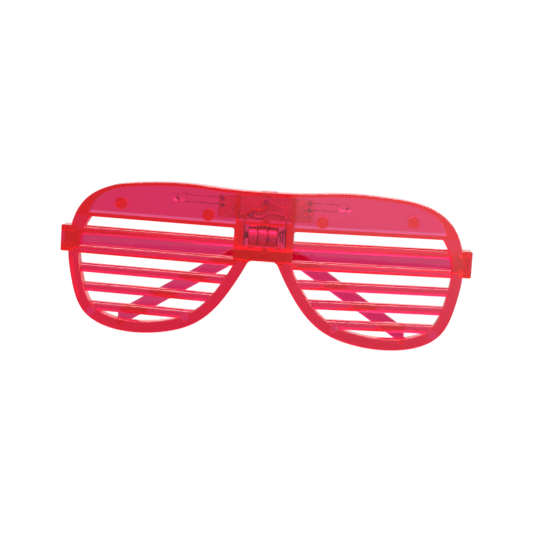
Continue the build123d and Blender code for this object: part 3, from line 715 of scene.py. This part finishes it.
@dataclass
class LightInsides(Fitting):
    """What shows inside each clear lens: the cup with its die, both posts and the bond wire.

    Places are measured from the lens's foot along its axis, and heights from its axis.
    """

    slant_degrees: float = 8.0
    length: float = 5.3
    lead_spacing: float = 2.54
    post_start: float = 2.3
    post_thickness: float = 0.4
    post_step: float = 0.08
    post_softness: int = 3
    cathode_bend: float = 2.8
    cathode_neck: float = 3.0
    cathode_end: float = 3.15
    cathode_end_width: float = 0.75
    anode_bend: float = 3.0
    anode_end: Pair = (3.5, 0.75)
    anode_width: float = 0.42
    cup_foot: float = 3.1
    cup_depth: float = 0.55
    cup_radius: float = 0.5
    cup_foot_radius_share: float = 0.7
    cup_mouth_radius_share: float = 0.86
    cup_floor_share: float = 0.45
    cup_floor_radius_share: float = 0.5
    die_radius: float = 0.14
    die_top_radius: float = 0.12
    die_height: float = 0.16
    wire_width: float = 0.06
    wire_steps: int = 24
    wire_start_share: float = 0.6
    wire_start_rise: float = 0.05
    wire_peak: Pair = (4.3, 0.45)
    wire_end: Pair = (3.5, 0.72)
    fine_sides: int = 8

    def axes(self, side: int, low: Grid, high: Grid) -> LensAxes:
        """Works out a lens's foot and directions: the lenses lean back with the front's halves.

        Args:
            side: -1 for the left lens, 1 for the right one.
            low: low corner of the lens's box, in millimetres.
            high: its high corner.

        Returns:
            The lens's axes.
        """
        slant = math.radians(self.slant_degrees)
        outwards = np.array([side * math.cos(slant), math.sin(slant), 0.0])
        front = np.array([math.sin(slant) * side, -math.cos(slant), 0.0])
        return LensAxes((low + high) / 2 - outwards * self.length / 2, outwards, front)

    def posts(self, lens: LensAxes) -> list[Grid]:
        """Both posts, on paths with eased corners: the cathode widens to the cup's foot.

        Args:
            lens: the lens's axes.

        Returns:
            The cathode's and the anode's grids.
        """
        half = self.lead_spacing / 2
        cathode_corners = [
            lens.spot(self.post_start, -half),
            lens.spot(self.cathode_bend, -half),
            lens.spot(self.cathode_neck, 0),
            lens.spot(self.cathode_end, 0),
        ]
        anode_corners = [
            lens.spot(self.post_start, half),
            lens.spot(self.anode_bend, half),
            lens.spot(*self.anode_end),
        ]
        cathode = eased(cathode_corners, self.post_step, self.post_softness)
        anode = eased(anode_corners, self.post_step, self.post_softness)
        widening = np.linspace(self.post_thickness, self.cathode_end_width, len(cathode))
        return [
            carried(cathode, widening, np.full(len(cathode), self.post_thickness), lens.front),
            carried(
                anode,
                np.full(len(anode), self.anode_width),
                np.full(len(anode), self.post_thickness),
                lens.front,
            ),
        ]

    def cup(self, lens: LensAxes) -> Grid:
        """The reflector cup, turned: a cone outside and a cone down to a flat floor inside.

        Args:
            lens: the lens's axes.

        Returns:
            The cup's grid.
        """
        floor = self.cup_depth * self.cup_floor_share
        profile = np.array(
            [
                [0, 0],
                [0, self.cup_radius * self.cup_foot_radius_share],
                [self.cup_depth, self.cup_radius],
                [self.cup_depth, self.cup_radius * self.cup_mouth_radius_share],
                [floor, self.cup_radius * self.cup_floor_radius_share],
                [floor, 0],
            ]
        )
        return revolved(profile, lens.spot(self.cup_foot, 0), lens.outwards)

    def die(self, lens: LensAxes) -> Grid:
        """The die on the cup's floor, a low block of few sides.

        Args:
            lens: the lens's axes.

        Returns:
            The die's grid.
        """
        profile = np.array(
            [[0, 0], [0, self.die_radius], [self.die_height, self.die_top_radius], [self.die_height, 0]]
        )
        floor = lens.spot(self.cup_foot + self.cup_depth * self.cup_floor_share, 0)
        return revolved(profile, floor, lens.outwards, self.fine_sides)

    def bond_wire(self, lens: LensAxes) -> Grid:
        """The bond wire's arc: start * (1 - t)^2 + 2 * peak * t * (1 - t) + end * t^2.

        Args:
            lens: the lens's axes.

        Returns:
            The wire's grid.
        """
        t = np.linspace(0, 1, self.wire_steps)[:, None]
        start = lens.spot(self.cup_foot + self.cup_depth * self.wire_start_share, self.wire_start_rise)
        peak = lens.spot(*self.wire_peak)
        end = lens.spot(*self.wire_end)
        arc = start * (1 - t) ** 2 + 2 * peak * t * (1 - t) + end * t**2
        width = np.full(len(arc), self.wire_width)
        return carried(arc, width, width, lens.front, self.fine_sides)

    def build(self) -> None:
        """Places the parts in each lens along its own slant."""
        for side, name in ((-1, "left"), (1, "right")):
            lens = self.axes(side, *in_mm(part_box(f"{name}_led")))
            self.place(f"{name}_light_posts", [*self.posts(lens), self.cup(lens)])
            self.place(f"{name}_light_die", [self.die(lens)], SEMICONDUCTOR, "light_lens")
            self.place(f"{name}_light_bond_wire", [self.bond_wire(lens)], GOLD, "light_leads")


@dataclass
class BoardCopper(Fitting):
    """Copper on the board's front: tracks, pad rings and plated holes.

    Places are measured across from the glasses' middle and up from the board's lower edge.
    """

    track_width: float = 0.7
    track_height: float = 0.05
    track_step: float = 0.2
    track_softness: int = 2
    ring_inner: float = 0.55
    ring_outer: float = 1.0
    ring_steps: int = 12
    ring_sides: int = 32
    hole_radius: float = 0.42
    joint_height: float = 0.16
    joint_sunk: float = 0.1
    joint_sides: int = 24
    tracks: tuple[tuple[Pair, ...], ...] = (
        ((16.0, 7.37), (13.4, 7.37), (11.4, 5.4), (11.4, 2.1)),
        ((16.0, 4.83), (14.4, 4.75), (14.4, 2.3)),
        ((16.3, 2.6), (16.3, 1.1), (9.6, 1.1), (7.4, 3.2), (7.4, 6.3)),
        ((-16.0, 7.37), (-12.6, 7.37), (-10.6, 5.4), (-3.4, 5.4), (-1.6, 6.8), (0.1, 6.8)),
        ((-16.0, 4.83), (-13.0, 4.83), (-10.4, 2.2), (-7.0, 1.9), (-5.1, 1.9)),
        ((0.1, 6.8), (3.4, 6.8), (5.2, 5.0), (7.4, 5.0)),
    )
    rings: tuple[Pair, ...] = (
        (16.0, 7.37),
        (16.0, 4.83),
        (-16.0, 7.37),
        (-16.0, 4.83),
        (0.1, 6.8),
        (-5.1, 1.9),
    )
    holes: tuple[Pair, ...] = (
        (14.33, 4.75),
        (14.5, 2.3),
        (11.4, 2.1),
        (16.3, 2.6),
        (7.4, 6.3),
        (-10.0, 2.2),
        (-13.6, 1.5),
    )

    def build(self) -> None:
        """Lays the tracks, the pad rings and the filled holes on the board's front face."""
        low, _ = in_mm(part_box("circuit_board"))
        face, edge = low[1], low[2]
        strips = []
        for track in self.tracks:
            line = eased([(x, face, edge + z) for x, z in track], self.track_step, self.track_softness)
            size = np.full(len(line), 1.0)
            strips.append(carried(line, size * self.track_width, size * self.track_height * 2, FRONT))
        self.place("board_tracks", strips)
        half = (self.ring_outer - self.ring_inner) / 2
        ring = ring_profile(self.ring_inner + half, half, self.track_height, self.ring_steps)
        pads = [
            revolved(ring, np.array([x, face, edge + z]), FRONT, self.ring_sides) for x, z in self.rings
        ]
        self.place("board_pad_rings", pads, SOLDER, "solder")
        bead = domed_profile(-self.joint_sunk, 0, self.joint_height, self.hole_radius)
        beads = [
            revolved(bead, np.array([x, face, edge + z]), FRONT, self.joint_sides) for x, z in self.holes
        ]
        self.place("board_joints", beads, SOLDER, "solder")


@dataclass
class SwitchLid(Fitting):
    """Pressed steel lid on the push switch, held by four staked pins."""

    lid_height: float = 0.18
    edge: float = 0.15
    key_gap: float = 0.1
    wall_share: float = 0.7
    top_share: float = 0.96
    corner_power: float = 0.25
    sides: int = 64
    pin_radius: float = 0.33
    pin_height: float = 0.16
    pin_inset: float = 0.55
    pin_sides: int = 24

    def lid(self, middle: Grid, half: Grid, key_half: Grid, seat: float) -> Grid:
        """A frame with round corners: across = a * |cos t|^p and back = b * |sin t|^p, signs kept.

        Args:
            middle: the switch's middle, across and back.
            half: half of the lid's sides.
            key_half: half of the key hole's sides.
            seat: height of the switch's top.

        Returns:
            Rows from the hole, out, up and back to the hole, by sides by 3, in metres.
        """
        turn = full_turn(self.sides)
        circle = np.stack([np.cos(turn), np.sin(turn)], axis=1)
        outline = np.sign(circle) * np.abs(circle) ** self.corner_power
        rows = (
            (0, 0),
            (1, 0),
            (1, self.lid_height * self.wall_share),
            (self.top_share, self.lid_height),
            (0, self.lid_height),
            (0, 0),
        )
        shares, rises = np.array(rows).T
        wide = key_half * (1 - shares[:, None]) + half * shares[:, None]
        ring = middle + wide[:, None] * outline
        tops = np.broadcast_to((seat + rises)[:, None, None], (*ring.shape[:2], 1))
        return np.concatenate([ring, tops], axis=-1) * MM

    def build(self) -> None:
        """Places the lid round the key, and a dome on each pin."""
        low, high = in_mm(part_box("tact_switch"))
        key_low, key_high = in_mm(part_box("switch_plunger"))
        middle, half = (low + high) / 2, (high - low) / 2 - self.edge
        key_half = (key_high - key_low) / 2 + self.key_gap
        self.place("switch_lid", [self.lid(middle[:2], half[:2], key_half[:2], high[2])])
        head = domed_profile(0, self.lid_height, self.pin_height, self.pin_radius)
        reach = half[:2] - self.pin_inset
        pins = []
        for across in (-1, 1):
            for back in (-1, 1):
                foot = np.append(middle[:2] + reach * (across, back), high[2])
                pins.append(revolved(head, foot, UP, self.pin_sides))
        self.place("switch_pins", pins, NYLON, "switch_case")


@dataclass(frozen=True)
class Softbox:
    """A rectangular soft lamp that faces the object: place and sides in metres, power in watts."""

    name: str
    place: Triple
    sides: Pair
    power: float

    def build(self) -> None:
        """Adds the lamp to the scene."""
        lamp = bpy.data.lights.new(self.name, "AREA")
        lamp.shape = "RECTANGLE"
        lamp.size, lamp.size_y = self.sides
        lamp.energy = self.power
        holder = bpy.data.objects.new(self.name, lamp)
        holder.location = self.place
        holder.rotation_mode = "QUATERNION"
        holder.rotation_quaternion = (-Vector(self.place)).to_track_quat("-Z", "Y")
        bpy.context.scene.collection.objects.link(holder)


@dataclass
class Studio:
    """Pale floor, white surroundings, soft lamps and the camera. Angles are in degrees."""

    floor_size: float = 8.0
    floor_under_mm: float = 0.02
    floor_hex: str = "505050"
    floor_rough: float = 0.9
    floor_lift: float = 0.97
    # Painted reflection: the floor's glow in gloss, least to most, and the X in metres over which it rises
    floor_painted_reflection: Pair = (0.25, 1.0)
    painted_reflection_reach: Pair = (-0.02, 0.2)
    clear_share: float = 0.61
    sky_gloss: float = 0.9
    dome: float = 0.45
    light_turns: int = 32
    target_mm: Triple = (1.685, 0.0, -1.632)
    distance_mm: float = 500.0
    azimuth: float = -3.421
    elevation: float = 7.014
    roll: float = 3.557
    focal_px: float = 1362.6
    picture_px: int = 533
    sensor_mm: float = 36.0
    clip: Pair = (0.01, 50.0)
    lamps: tuple[Softbox, ...] = (
        Softbox("key_strip", (-0.1, -0.7, 0.85), (1.2, 0.5), 11.0),
        Softbox("fill_softbox", (0.75, -0.6, 0.3), (0.6, 0.6), 5.0),
        Softbox("rear_softbox", (0.2, 0.9, 0.7), (0.8, 0.8), 3.5),
    )

    def seen(self, tree: Tree, gloss: float | Socket) -> Socket:
        """How white the background is: fully for the camera, less through plastic and in gloss.

        Args:
            tree: the floor's or the world's tree.
            gloss: strength in gloss, from 0 to 1.

        Returns:
            A strength from 0 to 1.
        """
        rays = add_node(tree, "LightPath").outputs
        shine = combined(tree, "MULTIPLY", rays["Is Glossy Ray"], gloss)
        clear = combined(tree, "MULTIPLY", rays["Is Transmission Ray"], self.clear_share)
        bent = combined(tree, "MAXIMUM", clear, shine)
        return combined(tree, "MAXIMUM", rays["Is Camera Ray"], bent)

    def floor(self) -> None:
        """A flat square under the object: white, with a soft shadow, and a painted reflection: its glow seen
        in gloss is dim at left and full at right.
        """
        low = CAD_BOX[0].z - self.floor_under_mm * MM
        side = np.linspace(-self.floor_size / 2, self.floor_size / 2, 2)
        x, y = np.meshgrid(side, side, indexing="ij")
        corners = np.stack([x, y, np.full_like(x, low)], axis=-1)
        # The columns run backwards, so that the face looks up
        piece = grid_mesh("floor", [corners[:, ::-1]], False)
        material, tree = new_material("studio_paper")
        across = add_node(tree, "SeparateXYZ", {0: object_place(tree)}).outputs["X"]
        near, far = self.painted_reflection_reach
        least, most = self.floor_painted_reflection
        limits = {"Value": across, "From Min": near, "From Max": far, "To Min": least, "To Max": most}
        # Painted reflection: the floor glows more in gloss towards +X, which brightens reflections on the
        # right of the glasses
        gloss = add_node(tree, "MapRange", limits).outputs[0]
        lift = combined(tree, "MULTIPLY", self.seen(tree, gloss), self.floor_lift)
        shader = add_node(
            tree,
            "BsdfPrincipled",
            {
                "Base Color": linear(self.floor_hex),
                "Roughness": self.floor_rough,
                "Specular IOR Level": 0.0,
                "Emission Color": (1, 1, 1, 1),
                "Emission Strength": lift,
            },
        )
        add_node(tree, "OutputMaterial", {"Surface": shader.outputs[0]})
        piece.data.materials.append(material)

    def surroundings(self) -> None:
        """A world that is white where the camera sees it, and a soft dome for diffuse light."""
        world = bpy.data.worlds.new("studio")
        bpy.context.scene.world = world
        world.use_nodes = True
        tree = world.node_tree
        tree.nodes.clear()
        rays = add_node(tree, "LightPath").outputs
        dome = combined(tree, "MULTIPLY", rays["Is Diffuse Ray"], self.dome)
        strength = combined(tree, "MAXIMUM", self.seen(tree, self.sky_gloss), dome)
        light = add_node(tree, "Background", {"Color": (1, 1, 1, 1), "Strength": strength})
        add_node(tree, "OutputWorld", {"Surface": light.outputs[0]})

    def camera(self) -> None:
        """The camera at the picture's angle: azimuth and elevation round the target, then a roll."""
        azimuth = math.radians(self.azimuth)
        elevation = math.radians(self.elevation)
        roll = math.radians(self.roll)
        away = math.cos(elevation)
        back = Vector((-math.sin(azimuth) * away, -math.cos(azimuth) * away, math.sin(elevation)))
        level = Vector((math.cos(azimuth), -math.sin(azimuth), 0))
        over = back.cross(level)
        right = level * math.cos(roll) + over * math.sin(roll)
        up = over * math.cos(roll) - level * math.sin(roll)
        data = bpy.data.cameras.new("camera")
        data.sensor_width = self.sensor_mm
        data.lens = self.focal_px / self.picture_px * data.sensor_width
        data.clip_start, data.clip_end = self.clip
        camera = bpy.data.objects.new("camera", data)
        turned = Matrix((right, up, back)).transposed().to_4x4()
        place = (Vector(self.target_mm) + back * self.distance_mm) * MM
        camera.matrix_world = Matrix.Translation(place) @ turned
        bpy.context.scene.collection.objects.link(camera)
        bpy.context.scene.camera = camera

    def light_paths(self) -> None:
        """Lets light turn often enough: folded, a ray crosses up to ten clear walls."""
        cycles = bpy.context.scene.cycles
        cycles.max_bounces = self.light_turns
        cycles.transmission_bounces = self.light_turns
        cycles.glossy_bounces = self.light_turns

    def build(self) -> None:
        """Builds the whole studio."""
        self.floor()
        self.surroundings()
        for lamp in self.lamps:
            lamp.build()
        self.camera()
        self.light_paths()
        bpy.context.scene.view_settings.view_transform = "Standard"
        LOG.info("studio built")


def main() -> None:
    """Builds the studio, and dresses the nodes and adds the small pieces."""
    logging.basicConfig(level=logging.INFO, format="%(message)s")
    Studio().build()
    dress(NODE_FINISHES)
    CellSeals(NYLON, "cell_can").build()
    LightInsides(TINNED, "light_leads").build()
    BoardCopper(COPPER, "board").build()
    SwitchLid(SPRING_STEEL, "switch_case").build()


if __name__ == "__main__":
    main()
